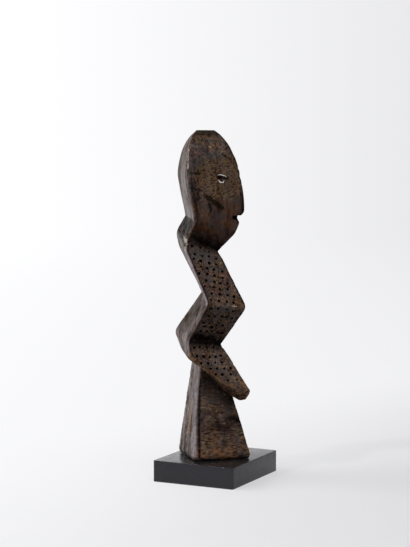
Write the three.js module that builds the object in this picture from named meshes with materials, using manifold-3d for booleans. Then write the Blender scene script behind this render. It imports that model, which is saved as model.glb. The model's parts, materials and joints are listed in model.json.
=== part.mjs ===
// A carved wooden figure that is folded in a zig-zag, standing on a low black plinth.
// Millimetres, +Z up. The figure faces -Y and the origin is the middle of the plinth's underside.

import * as THREE from 'three'
import { mergeVertices } from 'three/addons/utils/BufferGeometryUtils.js'
import Module from 'manifold-3d'

const wasm = await Module()
wasm.setup()

// Driving dimensions

const PLINTH_WIDTH = 98
const PLINTH_DEPTH = 83
const PLINTH_HEIGHT = 20
const PLINTH_ARRIS = 0.8
const REST_GAP = 0.3

// The head is an upright egg with a ridge in front, a ridge behind and one on either side.
// Every height is above the figure's own underside.
const CROWN_HEIGHT = 307.5
const CROWN_BEVEL = 4.3
const WIDEST_HEIGHT = 264
const BROW = { height: 243, middle: -20, reach: 48, rise: 70 }
const NAPE = { height: WIDEST_HEIGHT, middle: -10, reach: 31, rise: 46 }
const TEMPLE = { height: WIDEST_HEIGHT, reach: 38.5, rise: 47, forwardAtCrown: -13.5 }
const HEAD_STEPS = 9
const FACE_FOOT = 6

// Each bend of the body is a rhomb. Front and back are [forward, up] in the middle plane,
// side is [forward, outward, up], and round is how far the bend's corner is eased.
const BENDS = {
  jaw: { front: [24.8, 221], side: [-7.6, 28, 226], back: [-32.4, 228.2], round: 3 },
  chin: { front: [20, 211], side: [-13.4, 26, 215.6], back: [-38, 219.2], round: 3 },
  neck: { front: [2, 193.8], side: [-19.8, 23.6, 205.5], back: [-42.8, 211.4], round: 5 },
  shoulder: { front: [6.8, 187], side: [-20.6, 26, 196], back: [-39.6, 198], round: 3 },
  belly: { front: [32.2, 142.2], side: [6.8, 33.4, 147.5], back: [-14.6, 156], round: 5 },
  seat: { front: [5.2, 106.2], side: [-19.4, 22.4, 110], back: [-44.6, 116.4], round: 5 },
  thigh: { front: [14.8, 94], side: [-18, 23.4, 93.4], back: [-36, 98], round: 3 },
  knee: { front: [30.5, 71.2], side: [14.5, 14, 70.8], back: [9, 60.6], round: 3 },
  beak: { front: [35.8, 64], side: [28.5, 6.5, 62.6], back: [24.5, 54.9], round: 0 },
}
const BEAK_TIP = { front: [35.2, 60.9], side: [32.2, 3, 59.2], back: [30.8, 57] }

// The foot is a flared rhomb. Its top is buried in the thigh and its lower edge is worn round.
const FOOT_TOP = { front: [9.5, 81.5], side: [-9, 18, 87.6], back: [-25, 92] }
const FOOT_SOLE = { front: [36.2, 4.5], side: [-2.6, 39, 4.5], back: [-40, 4.5] }
const SOLE_WEAR = 1.8
const FOOT_STEPS = 3

// The ridges at the sides are planed off to a narrow flat.
const EDGE_FLAT = 2.4
const FOOT_EDGE_FLAT = 3.4
const FACET_COLUMNS = 3
const ROW_SPACING = 11

// The face: a low nose on the front ridge, a mouth cut across it and an almond eye on each cheek.
const NOSE = { top: 256, tip: 228.6, width: 4.8, proud: 1.8, root: 5, buried: 0.4, steps: 4 }
const NOSE_TAPER = 0.45
const NOSE_FLANK_SLOPE = 0.55
const MOUTH = { top: 228.2, rootHeight: 3, lipHeight: 7.5, root: 19.8, lip: 25, halfWidth: 9 }
const MOUTH_OVERSHOOT = 7
const EYE = { height: 262, across: 0.36, length: 9, opening: 6.6, depth: 1.1, slant: 0.3 }
const EYE_CURVE_STEPS = 5

// Burnt pits in wandering rows on the two front facets of each fold. Each number is the count
// of pits in one row, from the top of the fold down.
const PIT = { radius: 0.95, depth: 1.3, overshoot: 0.5, sides: 6, wander: 1.8, stagger: 0.25 }
const PIT_MARGIN = { front: 0.14, side: 0.12, end: 0.55 }
const PIT_FIELDS = [
  { path: ['neck', 'shoulder', 'belly'], rows: [3, 4, 4, 4, 4, 4, 4, 4, 4] },
  { path: ['belly', 'seat'], rows: [4, 5, 4, 5, 4] },
  { path: ['seat', 'thigh', 'knee'], rows: [4, 5, 4, 4, 3, 2] },
]

const WOOD = { color: '#3d2c23', roughness: 0.5, metalness: 0 }
const BLACK_PAINT = { color: '#161617', roughness: 0.4, metalness: 0 }

const lerp = THREE.MathUtils.lerp

// A rhomb's corners as points. The mirrored side is the same corner with its X turned over.

const inMiddle = ([forward, up]) => new THREE.Vector3(0, -forward, up)
const atSide = ([forward, outward, up]) => new THREE.Vector3(outward, -forward, up)
const mirror = (point, side) => point.clone().setX(side * point.x)

function rhomb({ front, side, back }) {
  return { front: inMiddle(front), side: atSide(side), back: inMiddle(back) }
}

function blend(a, b, share) {
  return {
    front: a.front.clone().lerp(b.front, share),
    side: a.side.clone().lerp(b.side, share),
    back: a.back.clone().lerp(b.back, share),
  }
}

// Sections of the head, from above the jaw to the flat crown

function ellipseReach(shape, height) {
  const rise = (height - shape.height) / shape.rise
  return shape.reach * Math.sqrt(Math.max(0, 1 - rise * rise))
}

function headSection(height) {
  const [jawForward, jawHalfWidth, jawHeight] = BENDS.jaw.side
  const aboveJaw = Math.min(1, (height - jawHeight) / (WIDEST_HEIGHT - jawHeight))
  const upper = Math.max(height, WIDEST_HEIGHT)
  const cheek = lerp(jawHalfWidth, ellipseReach(TEMPLE, upper), Math.sin((aboveJaw * Math.PI) / 2))
  const nape = lerp(BENDS.jaw.back[0], NAPE.middle - ellipseReach(NAPE, upper), aboveJaw)
  const towardsCrown = (height - jawHeight) / (CROWN_HEIGHT - jawHeight)
  return rhomb({
    front: [BROW.middle + ellipseReach(BROW, height), height],
    side: [lerp(jawForward, TEMPLE.forwardAtCrown, towardsCrown), cheek, height],
    back: [nape, height],
  })
}

function headSections() {
  const lowest = BENDS.jaw.side[2] + FACE_FOOT
  const bevelFoot = CROWN_HEIGHT - CROWN_BEVEL
  const sections = []
  for (let step = 0; step <= HEAD_STEPS; step += 1) {
    const share = Math.sin((step / HEAD_STEPS) * (Math.PI / 2))
    sections.push(headSection(lerp(lowest, bevelFoot, share)))
  }
  sections.push(headSection(CROWN_HEIGHT))
  return sections
}

// Sections of the folded body from the beak up, with each bend eased over its round distance

function easedBend(low, bend, high) {
  const entry = blend(bend, low, bend.round / bend.side.distanceTo(low.side))
  const exit = blend(bend, high, bend.round / bend.side.distanceTo(high.side))
  return blend(blend(entry, exit, 0.5), bend, 0.5)
}

function bodySections() {
  const bends = Object.values(BENDS).map((bend) => ({ ...rhomb(bend), round: bend.round })).reverse()
  const sections = [rhomb(BEAK_TIP)]
  bends.slice(1).forEach((high, i) => {
    const low = bends[i]
    const length = low.side.distanceTo(high.side)
    const start = low.round / length
    const end = 1 - high.round / length
    const rows = Math.max(1, Math.round((length * (end - start)) / ROW_SPACING))
    for (let row = 0; row <= rows; row += 1) {
      sections.push(blend(low, high, lerp(start, end, row / rows)))
    }
    if (i + 2 < bends.length) {
      sections.push(easedBend(low, high, bends[i + 2]))
    }
  })
  return sections
}

// Sections of the foot, from the worn sole up

function footSections() {
  const sole = rhomb(FOOT_SOLE)
  const top = rhomb(FOOT_TOP)
  const centre = sole.front.clone().lerp(sole.back, 0.5)
  const worn = blend(sole, sole, 0)
  for (const corner of Object.values(worn)) {
    corner.add(centre.clone().sub(corner).setLength(SOLE_WEAR)).setZ(0)
  }
  const sections = [worn]
  for (let step = 0; step <= FOOT_STEPS; step += 1) {
    sections.push(blend(sole, top, step / FOOT_STEPS))
  }
  return sections
}

// A ring of points round a section, from the front ridge round one side to the back and home

function ring({ front, side, back }, flat) {
  const frontEdge = side.clone().add(front.clone().sub(side).setLength(flat))
  const backEdge = side.clone().add(back.clone().sub(side).setLength(flat))
  const shares = Array.from({ length: FACET_COLUMNS }, (_, i) => i / FACET_COLUMNS)
  const half = [
    ...shares.map((share) => front.clone().lerp(frontEdge, share)),
    frontEdge,
    ...shares.map((share) => backEdge.clone().lerp(back, share)),
  ]
  const otherHalf = half.slice(1).reverse().map((point) => mirror(point, -1))
  return [...half, back, ...otherHalf]
}

// A closed skin over rings of equal count, listed from the lowest up. The diagonals of the two
// halves mirror each other.

function stack(rings) {
  const count = rings[0].length
  const faces = []
  for (let row = 0; row + 1 < rings.length; row += 1) {
    for (let i = 0; i < count; i += 1) {
      const next = (i + 1) % count
      const [a, b] = [row * count + i, row * count + next]
      const [c, d] = [a + count, b + count]
      faces.push(...(i < count / 2 ? [a, b, d, a, d, c] : [a, b, c, b, d, c]))
    }
  }
  const last = (rings.length - 1) * count
  for (let i = 1; i + 1 < count; i += 1) {
    faces.push(0, i + 1, i)
    faces.push(last, last + i, last + i + 1)
  }
  const places = rings.flat().flatMap((point) => point.toArray())
  const geometry = new THREE.BufferGeometry()
  geometry.setAttribute('position', new THREE.Float32BufferAttribute(places, 3))
  geometry.setIndex(faces)
  return geometry
}

// Booleans between closed meshes

function solid(geometry) {
  const bare = geometry.clone()
  bare.deleteAttribute('normal')
  bare.deleteAttribute('uv')
  const merged = mergeVertices(bare)
  return new wasm.Manifold(new wasm.Mesh({
    numProp: 3,
    vertProperties: Float32Array.from(merged.attributes.position.array),
    triVerts: Uint32Array.from(merged.index.array),
  }))
}

function geometryOf(body) {
  const { vertProperties, triVerts } = body.getMesh()
  const geometry = new THREE.BufferGeometry()
  geometry.setAttribute('position', new THREE.BufferAttribute(vertProperties, 3))
  geometry.setIndex(new THREE.BufferAttribute(triVerts, 1))
  geometry.computeVertexNormals()
  return geometry
}

// Nose: a blunt bar along the front ridge that stands prouder towards its tip

function noseBar() {
  const rings = []
  for (let step = 0; step <= NOSE.steps; step += 1) {
    const share = step / NOSE.steps
    const height = lerp(NOSE.tip, NOSE.top, share)
    const ridge = BROW.middle + ellipseReach(BROW, height)
    const tip = ridge + lerp(NOSE.proud, -NOSE.buried, share)
    const half = (NOSE.width / 2) * (1 - NOSE_TAPER * share)
    const flank = tip - NOSE_FLANK_SLOPE * half
    const root = tip - NOSE.root
    rings.push([
      new THREE.Vector3(0, -tip, height),
      new THREE.Vector3(half, -flank, height),
      new THREE.Vector3(half, -root, height),
      new THREE.Vector3(-half, -root, height),
      new THREE.Vector3(-half, -flank, height),
    ])
  }
  return stack(rings)
}

// Mouth: a slot under the nose, level above and sloping below

function mouthSlot() {
  const { top, rootHeight, lipHeight, root, lip, halfWidth } = MOUTH
  const slope = (lipHeight - rootHeight) / (lip - root)
  const front = lip + MOUTH_OVERSHOOT
  const profile = new THREE.Shape()
  profile.moveTo(root, top - rootHeight)
  profile.lineTo(front, top - lipHeight - slope * MOUTH_OVERSHOOT)
  profile.lineTo(front, top)
  profile.lineTo(root, top)
  profile.closePath()
  const slot = new THREE.ExtrudeGeometry(profile, { depth: 2 * halfWidth, bevelEnabled: false })
  slot.translate(0, 0, -halfWidth)
  const forward = new THREE.Vector3(0, -1, 0)
  const up = new THREE.Vector3(0, 0, 1)
  return slot.applyMatrix4(new THREE.Matrix4().makeBasis(forward, up, forward.clone().cross(up)))
}

// A frame on a front facet: X runs across it from the front ridge to the side, and Z points out

function facetFrame(section, upper, across, side) {
  const spot = ({ front, side: edge }) => mirror(front.clone().lerp(edge, across), side)
  const place = spot(section)
  const x = mirror(section.side, side).sub(section.front).normalize()
  const out = x.clone().cross(spot(upper).sub(place)).normalize().multiplyScalar(side)
  const y = out.clone().cross(x)
  return new THREE.Matrix4().makeBasis(x, y, out).setPosition(place)
}

// Eye: an almond cut into the cheek, higher at its outer corner

function eyeSocket(side) {
  const half = EYE.length / 2
  const almond = new THREE.Shape()
  almond.moveTo(-half, 0)
  almond.quadraticCurveTo(0, EYE.opening, half, 0)
  almond.quadraticCurveTo(0, -EYE.opening, -half, 0)
  const socket = new THREE.ExtrudeGeometry(almond, {
    depth: 2 * EYE.depth,
    bevelEnabled: false,
    curveSegments: EYE_CURVE_STEPS,
  })
  socket.translate(0, 0, -EYE.depth)
  socket.rotateZ(side * EYE.slant)
  const [at, above] = [headSection(EYE.height), headSection(EYE.height + 1)]
  return socket.applyMatrix4(facetFrame(at, above, EYE.across, side))
}

// Pits: small cones sunk into the facets, scattered off their rows by a repeatable amount

function scatter(seed) {
  const wave = Math.sin(seed * 12.9898) * 43758.5453
  return wave - Math.floor(wave) - 0.5
}

function alongPath(path, share) {
  const bends = path.map((name) => rhomb(BENDS[name]))
  const lengths = bends.slice(1).map((bend, i) => bend.side.distanceTo(bends[i].side))
  let rest = share * lengths.reduce((sum, length) => sum + length, 0)
  let i = 0
  while (i < lengths.length - 1 && rest > lengths[i]) {
    rest -= lengths[i]
    i += 1
  }
  return blend(bends[i], bends[i + 1], rest / lengths[i])
}

function pit(path, down, across, side) {
  const height = PIT.depth + PIT.overshoot
  const cone = new THREE.ConeGeometry((PIT.radius * height) / PIT.depth, height, PIT.sides)
  cone.rotateX(-Math.PI / 2)
  cone.translate(0, 0, height / 2 - PIT.depth)
  return cone.applyMatrix4(facetFrame(alongPath(path, down), alongPath(path, down - 0.01), across, side))
}

function pitRow(field, row, side) {
  const { path, rows } = PIT_FIELDS[field]
  const length = alongPath(path, 1).side.distanceTo(alongPath(path, 0).side)
  const down = (row + PIT_MARGIN.end) / (rows.length - 1 + 2 * PIT_MARGIN.end)
  const { front, side: edge } = alongPath(path, down)
  const shift = 0.5 + PIT.stagger * (row % 2 === 0 ? 1 : -1)
  return Array.from({ length: rows[row] }, (_, i) => {
    const seed = 1 + field * 100 + row * 10 + i + (side + 1) * 211
    const spread = lerp(PIT_MARGIN.front, 1 - PIT_MARGIN.side, (i + shift) / rows[row])
    const across = spread + (PIT.wander * scatter(seed + 57)) / front.distanceTo(edge)
    return pit(path, down + (PIT.wander * scatter(seed)) / length, across, side)
  })
}

function pits(side) {
  return PIT_FIELDS.flatMap(({ rows }, field) => rows.flatMap((_, row) => pitRow(field, row, side)))
}

// Figure: head, folds and foot are one block of wood, and everything else is cut into it

function figureMesh() {
  const body = solid(stack([...bodySections(), ...headSections()].map((at) => ring(at, EDGE_FLAT))))
  const foot = solid(stack(footSections().map((at) => ring(at, FOOT_EDGE_FLAT))))
  const block = body.add(foot).add(solid(noseBar()))
  const cuts = [mouthSlot(), eyeSocket(-1), eyeSocket(1), ...pits(-1), ...pits(1)]
  const carved = cuts.reduce((rest, cut) => rest.subtract(solid(cut)), block)
  const mesh = new THREE.Mesh(geometryOf(carved), new THREE.MeshStandardMaterial(WOOD))
  mesh.name = 'figure'
  mesh.position.z = PLINTH_HEIGHT + REST_GAP
  return mesh
}

// Plinth: a block with eased arrises all round

function plinthMesh() {
  const halfWidth = PLINTH_WIDTH / 2 - PLINTH_ARRIS
  const halfDepth = PLINTH_DEPTH / 2 - PLINTH_ARRIS
  const plan = new THREE.Shape()
  plan.moveTo(-halfWidth, -halfDepth)
  plan.lineTo(halfWidth, -halfDepth)
  plan.lineTo(halfWidth, halfDepth)
  plan.lineTo(-halfWidth, halfDepth)
  plan.closePath()
  const block = new THREE.ExtrudeGeometry(plan, {
    depth: PLINTH_HEIGHT - 2 * PLINTH_ARRIS,
    bevelEnabled: true,
    bevelSize: PLINTH_ARRIS,
    bevelThickness: PLINTH_ARRIS,
    bevelSegments: 1,
  })
  block.translate(0, 0, PLINTH_ARRIS)
  const mesh = new THREE.Mesh(block, new THREE.MeshStandardMaterial(BLACK_PAINT))
  mesh.name = 'plinth'
  return mesh
}

const group = new THREE.Group()
group.add(figureMesh(), plinthMesh())

export default group
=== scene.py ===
# %% [markdown]
# # A carved wooden figure folded in a zig-zag
#
# The real object is one block of dark wood, cut with an adze and a knife into flat facets: a
# tall egg of a head, a body folded three times and a flared foot. Burnt pits dot the front
# facets. It stands on a low plinth of black-painted wood.
#
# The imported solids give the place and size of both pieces. Here each of them gets a finer skin
# of its own, in the same frame, with worn edges, tool marks, round pits and a finish.

# %% Load the frame
import json
import math
from math import cos, pi, radians, sin

import bmesh
import bpy
import numpy as np
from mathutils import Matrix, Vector, kdtree, noise
from numpy.linalg import norm

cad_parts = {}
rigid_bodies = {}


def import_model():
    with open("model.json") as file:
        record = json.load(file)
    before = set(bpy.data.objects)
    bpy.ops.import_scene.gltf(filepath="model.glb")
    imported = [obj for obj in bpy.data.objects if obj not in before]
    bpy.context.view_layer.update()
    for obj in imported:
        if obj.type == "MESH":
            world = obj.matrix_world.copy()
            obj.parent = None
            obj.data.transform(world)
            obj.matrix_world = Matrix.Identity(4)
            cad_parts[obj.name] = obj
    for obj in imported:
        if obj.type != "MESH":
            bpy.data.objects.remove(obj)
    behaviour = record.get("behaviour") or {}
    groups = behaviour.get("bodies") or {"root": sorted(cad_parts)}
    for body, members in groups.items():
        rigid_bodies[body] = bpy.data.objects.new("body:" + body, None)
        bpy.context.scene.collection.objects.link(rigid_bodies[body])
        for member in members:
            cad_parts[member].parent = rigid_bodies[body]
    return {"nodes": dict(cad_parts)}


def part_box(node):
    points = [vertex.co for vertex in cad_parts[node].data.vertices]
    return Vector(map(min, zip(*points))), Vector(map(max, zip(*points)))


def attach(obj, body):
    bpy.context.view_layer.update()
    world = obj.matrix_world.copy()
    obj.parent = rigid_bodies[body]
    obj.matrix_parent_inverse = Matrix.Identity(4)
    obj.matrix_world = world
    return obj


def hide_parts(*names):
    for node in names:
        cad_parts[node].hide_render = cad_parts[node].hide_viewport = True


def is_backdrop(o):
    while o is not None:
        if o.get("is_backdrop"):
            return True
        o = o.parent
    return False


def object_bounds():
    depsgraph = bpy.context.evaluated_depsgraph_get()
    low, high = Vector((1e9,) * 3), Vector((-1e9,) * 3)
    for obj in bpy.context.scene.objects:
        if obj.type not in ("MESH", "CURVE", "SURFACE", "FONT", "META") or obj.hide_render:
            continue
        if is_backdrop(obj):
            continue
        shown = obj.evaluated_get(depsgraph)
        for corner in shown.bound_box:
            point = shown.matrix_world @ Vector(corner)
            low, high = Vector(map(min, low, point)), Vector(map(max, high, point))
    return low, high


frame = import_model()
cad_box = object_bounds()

print("nodes", sorted(frame["nodes"]))
print("box in millimetres", [[round(v * 1000, 1) for v in corner] for corner in cad_box])

# %% [markdown]
# ## The camera
#
# The photograph is taken from the figure's right, a little in front of it and slightly above
# its middle, with a long lens. A long lens keeps the facets nearly parallel. The same place
# and lens put every ridge where the photograph has it.

# %% Camera
CAMERA_PLACE = Vector((-1.3483, -0.6630, 0.3144))
CAMERA_HEADING = radians(-63.42)
CAMERA_DOWN = radians(4.61)
FOCAL_PIXELS = 1600
FRAME_HEIGHT = 547
SENSOR = 36

camera_data = bpy.data.cameras.new("camera")
camera_data.sensor_width = SENSOR
camera_data.lens = FOCAL_PIXELS / FRAME_HEIGHT * SENSOR
camera = bpy.data.objects.new("camera", camera_data)
camera.location = CAMERA_PLACE
camera.rotation_euler = (pi / 2 - CAMERA_DOWN, 0, CAMERA_HEADING)
bpy.context.scene.collection.objects.link(camera)
bpy.context.scene.camera = camera
print("lens in millimetres", round(camera_data.lens, 1))

# %% [markdown]
# ## Building materials out of nodes
#
# A procedural material is a graph of small nodes. A few helpers keep the graphs readable. The
# first adds a node and sets its sockets, either to a value or by a link from another node. The
# others add the small sums that every graph needs.

# %% Node helpers
def put(tree, kind, at=None, **settings):
    """Adds a node. `at` maps input names or numbers to values or to other nodes' outputs."""
    made = tree.nodes.new("ShaderNode" + kind)
    for name, value in settings.items():
        setattr(made, name, value)
    for name, value in (at or {}).items():
        if isinstance(value, bpy.types.NodeSocket):
            tree.links.new(value, made.inputs[name])
        else:
            made.inputs[name].default_value = value
    return made


def reckon(tree, operation, first, second):
    return put(tree, "Math", {0: first, 1: second}, operation=operation).outputs[0]


def along(tree, where, way):
    """How far a place lies along a direction."""
    return put(tree, "VectorMath", {0: where, 1: tuple(way)}, operation="DOT_PRODUCT").outputs["Value"]


def rise(tree, source, start, end, low=0, high=1, kind="LINEAR"):
    """A value that goes from `low` to `high` while the source goes from `start` to `end`."""
    return put(tree, "MapRange", {
        "Value": source, "From Min": start, "From Max": end, "To Min": low, "To Max": high,
    }, interpolation_type=kind).outputs[0]


def new_material(name):
    material = bpy.data.materials.new(name)
    material.use_nodes = True
    material.node_tree.nodes.clear()
    return material, material.node_tree


print("helpers for nodes are ready")

# %% [markdown]
# ## The studio
#
# Dark glossy wood shows its surroundings, so the light matters as much as the colour. The
# object stands on white paper in a dim room. A pale backdrop glows behind it, and the facets
# that look back there mirror it and the bright paper in front of it. A wide soft box hangs
# above and in front, and a small lamp at the left throws the clear shadow to the right. The
# lens sees plain white all round, and the light on the object comes from the dim room, so that
# facets that turn away from the lamps stay dark.

# %% Surroundings
WHITE = (0.985, 0.985, 1, 1)
WHITE_STRENGTH = 0.93
WHITE_RISE = 0.8
WHITE_LOWEST = 0.8
BRIGHTER_SIDE = Vector((-0.438, 0.899, 0))
ROOM = dict(start=-0.05, end=0.2, low=0.5, high=0.2)
BACKDROP = dict(azimuth=radians(40), lift=0.1, strength=0.7,
                outer=cos(radians(42)), inner=cos(radians(18)))


def seen_or_lit(tree, where, reach, lit):
    """White for the lens, brighter to the left, and another value for the light it gives."""
    side = along(tree, where, BRIGHTER_SIDE * WHITE_RISE / reach)
    seen = reckon(tree, "MAXIMUM", reckon(tree, "ADD", side, WHITE_STRENGTH), WHITE_LOWEST)
    path = put(tree, "LightPath").outputs["Is Camera Ray"]
    return put(tree, "Mix", {0: path, 2: lit, 3: seen}).outputs[0]


world = bpy.data.worlds.new("surroundings")
bpy.context.scene.world = world
world.use_nodes = True
sky = world.node_tree
sky.nodes.clear()
direction = put(sky, "TexCoord").outputs["Generated"]
height = put(sky, "SeparateXYZ", {0: direction}).outputs["Z"]
room = rise(sky, height, **ROOM)
azimuth = BACKDROP["azimuth"]
towards = along(sky, direction, (cos(azimuth), sin(azimuth), BACKDROP["lift"]))
backdrop = rise(sky, towards, BACKDROP["outer"], BACKDROP["inner"], 0, BACKDROP["strength"], "SMOOTHSTEP")
strength = seen_or_lit(sky, direction, 1, reckon(sky, "ADD", room, backdrop))
glow = put(sky, "Background", {"Color": WHITE, "Strength": strength})
put(sky, "OutputWorld", {"Surface": glow.outputs[0]})
bpy.context.scene.view_settings.view_transform = "Standard"
print("nodes of the surroundings:", len(sky.nodes))

# %% Floor
FLOOR_RADIUS = 4.0
FADE_ROUND = (0.6, 1.7)
FADE_BEHIND = (-0.3, 0.3)
FADE_TOWARDS = radians(72)
FLOOR_BEHIND = 0.9
PAPER = (0.86, 0.86, 0.875, 1)

floor_material, tree = new_material("pale_floor")
place = put(tree, "TexCoord").outputs["Object"]
reach = put(tree, "VectorMath", {0: place}, operation="LENGTH").outputs["Value"]
behind_it = along(tree, place, (cos(FADE_TOWARDS), sin(FADE_TOWARDS), 0))
fades = [rise(tree, source, *ends, kind="SMOOTHSTEP")
         for source, ends in ((reach, FADE_ROUND), (behind_it, FADE_BEHIND))]
paper = put(tree, "BsdfPrincipled", {"Base Color": PAPER, "Roughness": 0.9})
given = rise(tree, behind_it, 0, FADE_BEHIND[1], ROOM["low"], FLOOR_BEHIND)
seen = seen_or_lit(tree, place, FLOOR_RADIUS + CAMERA_PLACE.length, given)
far = put(tree, "Emission", {"Color": WHITE, "Strength": seen})
mixed = put(tree, "MixShader", {
    0: reckon(tree, "MAXIMUM", *fades), 1: paper.outputs[0], 2: far.outputs[0],
})
put(tree, "OutputMaterial", {"Surface": mixed.outputs[0]})

bpy.ops.mesh.primitive_circle_add(vertices=96, radius=FLOOR_RADIUS, fill_type="NGON")
floor = bpy.context.object
floor.name = "floor"
floor.data.materials.append(floor_material)
floor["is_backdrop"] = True
print("floor reaches", FLOOR_RADIUS, "metres")

# %% Lamps
def add_lamp(name, azimuth, elevation, distance, size, power):
    """A round lamp that looks at the object's middle. Angles are in degrees."""
    turn, tilt = radians(azimuth), radians(elevation)
    away = Vector((cos(turn) * cos(tilt), sin(turn) * cos(tilt), sin(tilt)))
    data = bpy.data.lights.new(name, "AREA")
    data.shape = "DISK"
    data.size = size
    data.energy = power
    lamp = bpy.data.objects.new(name, data)
    lamp.location = away * distance
    lamp.rotation_euler = away.to_track_quat("Z", "Y").to_euler()
    bpy.context.scene.collection.objects.link(lamp)
    print(name, "at", [round(v, 2) for v in lamp.location])


add_lamp("small_lamp", azimuth=156, elevation=34, distance=2.2, size=0.16, power=9)
add_lamp("soft_box", azimuth=-140, elevation=62, distance=3.4, size=2.9, power=57)
add_lamp("left_box", azimuth=112, elevation=32, distance=1.2, size=0.8, power=5.5)
add_lamp("low_panel", azimuth=80, elevation=2, distance=1.4, size=0.5, power=3)

# %% [markdown]
# ## The figure's shape, from named bends
#
# The figure is a stack of rhombs: each level has a ridge in front, one at either side and one
# behind. The body folds where the rhombs tip over. Each bend is named by the place of its
# front, side and back corner in millimetres: how far forward, for the side also how far out,
# and the height above the figure's own underside. The carver keeps a hollow crease crisp and
# an outer corner gets rubbed round, so two lists say how far each bend is eased and which of
# its corners is a crease.

# %% Bends of the body
MM = 0.001
FIGURE_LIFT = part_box("figure")[0].z / MM

FRONT, SIDE, BACK = range(3)
CREASE_EASE = 1.0
BENDS = {
    "beak": [(35.8, 64), (28.5, 6.5, 62.6), (25.6, 53.5)],
    "knee": [(30.5, 71.2), (14.5, 14, 70.8), (9, 60.6)],
    "thigh": [(14.8, 94), (-18, 23.4, 93.4), (-36, 98)],
    "seat": [(5.2, 106.2), (-19.4, 22.4, 110), (-44.6, 116.4)],
    "belly": [(32.2, 142.2), (6.8, 33.4, 147.5), (-14.6, 156)],
    "shoulder": [(6.8, 187), (-20.6, 26, 196), (-39.6, 198)],
    "neck": [(2, 193.8), (-19.8, 23.6, 205.5), (-42.8, 211.4)],
    "chin": [(20, 211), (-13.4, 26, 215.6), (-38, 219.2)],
    "jaw": [(24.8, 221), (-7.6, 28, 226), (-32.4, 228.2)],
}
BEAK_TIP = [(35.2, 60.9), (32.2, 3, 58.6), (31, 55.4)]
EASES = dict(beak=0, knee=3, thigh=3, seat=5, belly=5, shoulder=3, neck=5, chin=3, jaw=3)
CREASES = dict(seat=FRONT, belly=BACK, neck=FRONT, jaw=BACK)


def rhomb(front, side, back):
    """The three corners as points: in front, at the figure's left side, behind."""
    return np.array([
        (0, -front[0], front[1]), (side[1], -side[0], side[2]), (0, -back[0], back[1]),
    ], float)


def eases(name):
    """How far each corner of a bend is eased."""
    return np.array([CREASE_EASE if CREASES.get(name) == corner else EASES[name] for corner in range(3)])


print("bends from the beak up:", ", ".join(BENDS))

# %% [markdown]
# ## Rows between the bends
#
# The skin needs a row of points about every millimetre, fine enough for worn edges and tool
# marks. Between two bends the rows run straight. Round a bend each corner follows a short
# curve that starts and ends at its ease.

# %% Rows of the body
ROW_STEP = 1.15
BEND_STEPS = 6


def body_rows():
    corners = [rhomb(*places) for places in BENDS.values()]
    rows = [rhomb(*BEAK_TIP)]
    start = corners[0]
    for low, high, name, after in zip(corners, corners[1:], list(BENDS)[1:], corners[2:] + [None]):
        entry = high + (low - high) * (eases(name) / norm(high - low, axis=1))[:, None]
        steps = max(2, round(norm(entry[1] - start[1]) / ROW_STEP))
        rows += [start + (entry - start) * i / steps for i in range(steps)]
        if after is None:
            return rows + [entry]
        start = high + (after - high) * (eases(name) / norm(after - high, axis=1))[:, None]
        for i in range(BEND_STEPS):
            t = i / BEND_STEPS
            rows.append(entry * (1 - t) ** 2 + high * 2 * t * (1 - t) + start * t ** 2)


body = body_rows()
print("rows of the folded body:", len(body))

# %% [markdown]
# ## The head
#
# The head is an upright egg with the same four ridges. Its front outline, its back outline and
# its widest line at the temples are quarter ellipses that differ in height and reach, so a
# section at any height comes from three short formulas. The crown is cut off flat, with a
# narrow bevel round it.

# %% Rows of the head
CROWN_HEIGHT = 307.5
CROWN_BEVEL = 4.3
BEVEL_DETAIL = 1.6
WIDEST_HEIGHT = 264
BROW = dict(height=243, middle=-20, reach=48, rise=70)
NAPE = dict(height=WIDEST_HEIGHT, middle=-10, reach=31, rise=46)
TEMPLE = dict(height=WIDEST_HEIGHT, reach=38.5, rise=47)
TEMPLE_AT_CROWN = -13.5
FACE_FOOT = 6


def ellipse(shape, height):
    return shape["reach"] * math.sqrt(max(0, 1 - ((height - shape["height"]) / shape["rise"]) ** 2))


def head_row(height):
    jaw_forward, jaw_half, jaw_height = BENDS["jaw"][SIDE]
    above = min(1, (height - jaw_height) / (WIDEST_HEIGHT - jaw_height))
    upper = max(height, WIDEST_HEIGHT)
    cheek = jaw_half + (ellipse(TEMPLE, upper) - jaw_half) * sin(above * pi / 2)
    jaw_back = BENDS["jaw"][BACK][0]
    nape = jaw_back + (NAPE["middle"] - ellipse(NAPE, upper) - jaw_back) * above
    towards_crown = (height - jaw_height) / (CROWN_HEIGHT - jaw_height)
    temple = jaw_forward + (TEMPLE_AT_CROWN - jaw_forward) * towards_crown
    return rhomb((BROW["middle"] + ellipse(BROW, height), height), (temple, cheek, height), (nape, height))


def head_rows():
    lowest = BENDS["jaw"][SIDE][2] + FACE_FOOT
    bevel_foot = CROWN_HEIGHT - CROWN_BEVEL
    joint = head_row(lowest)
    below = body[-1]
    blend_steps = round(FACE_FOOT / ROW_STEP)
    rows = [below + (joint - below) * i / blend_steps for i in range(1, blend_steps)]
    steps = round((bevel_foot - lowest) / ROW_STEP)
    rows += [head_row(lowest + (bevel_foot - lowest) * i / steps) for i in range(steps)]
    edge = head_row(bevel_foot)
    crown = head_row(CROWN_HEIGHT)
    bevel_steps = round(BEVEL_DETAIL * CROWN_BEVEL / ROW_STEP)
    return rows + [edge + (crown - edge) * i / bevel_steps for i in range(bevel_steps + 1)]


head = head_rows()
print("rows of the head:", len(head))

# %% [markdown]
# ## From rows to a grid of points
#
# Every row becomes a ring of points. It runs from the front ridge round the left side to the
# back ridge and home along the right side. The side ridges are planed off to a narrow flat.
# All rings have the same number of points, so the figure is one grid, and a grid is easy to
# smooth and to push about.

# %% Rings
EDGE_FLAT = 2.4
FOOT_EDGE_FLAT = 3.4
FRONT_COLUMNS = 44
FLAT_COLUMNS = 3
BACK_COLUMNS = 34
CROWN_RINGS = 14


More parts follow.
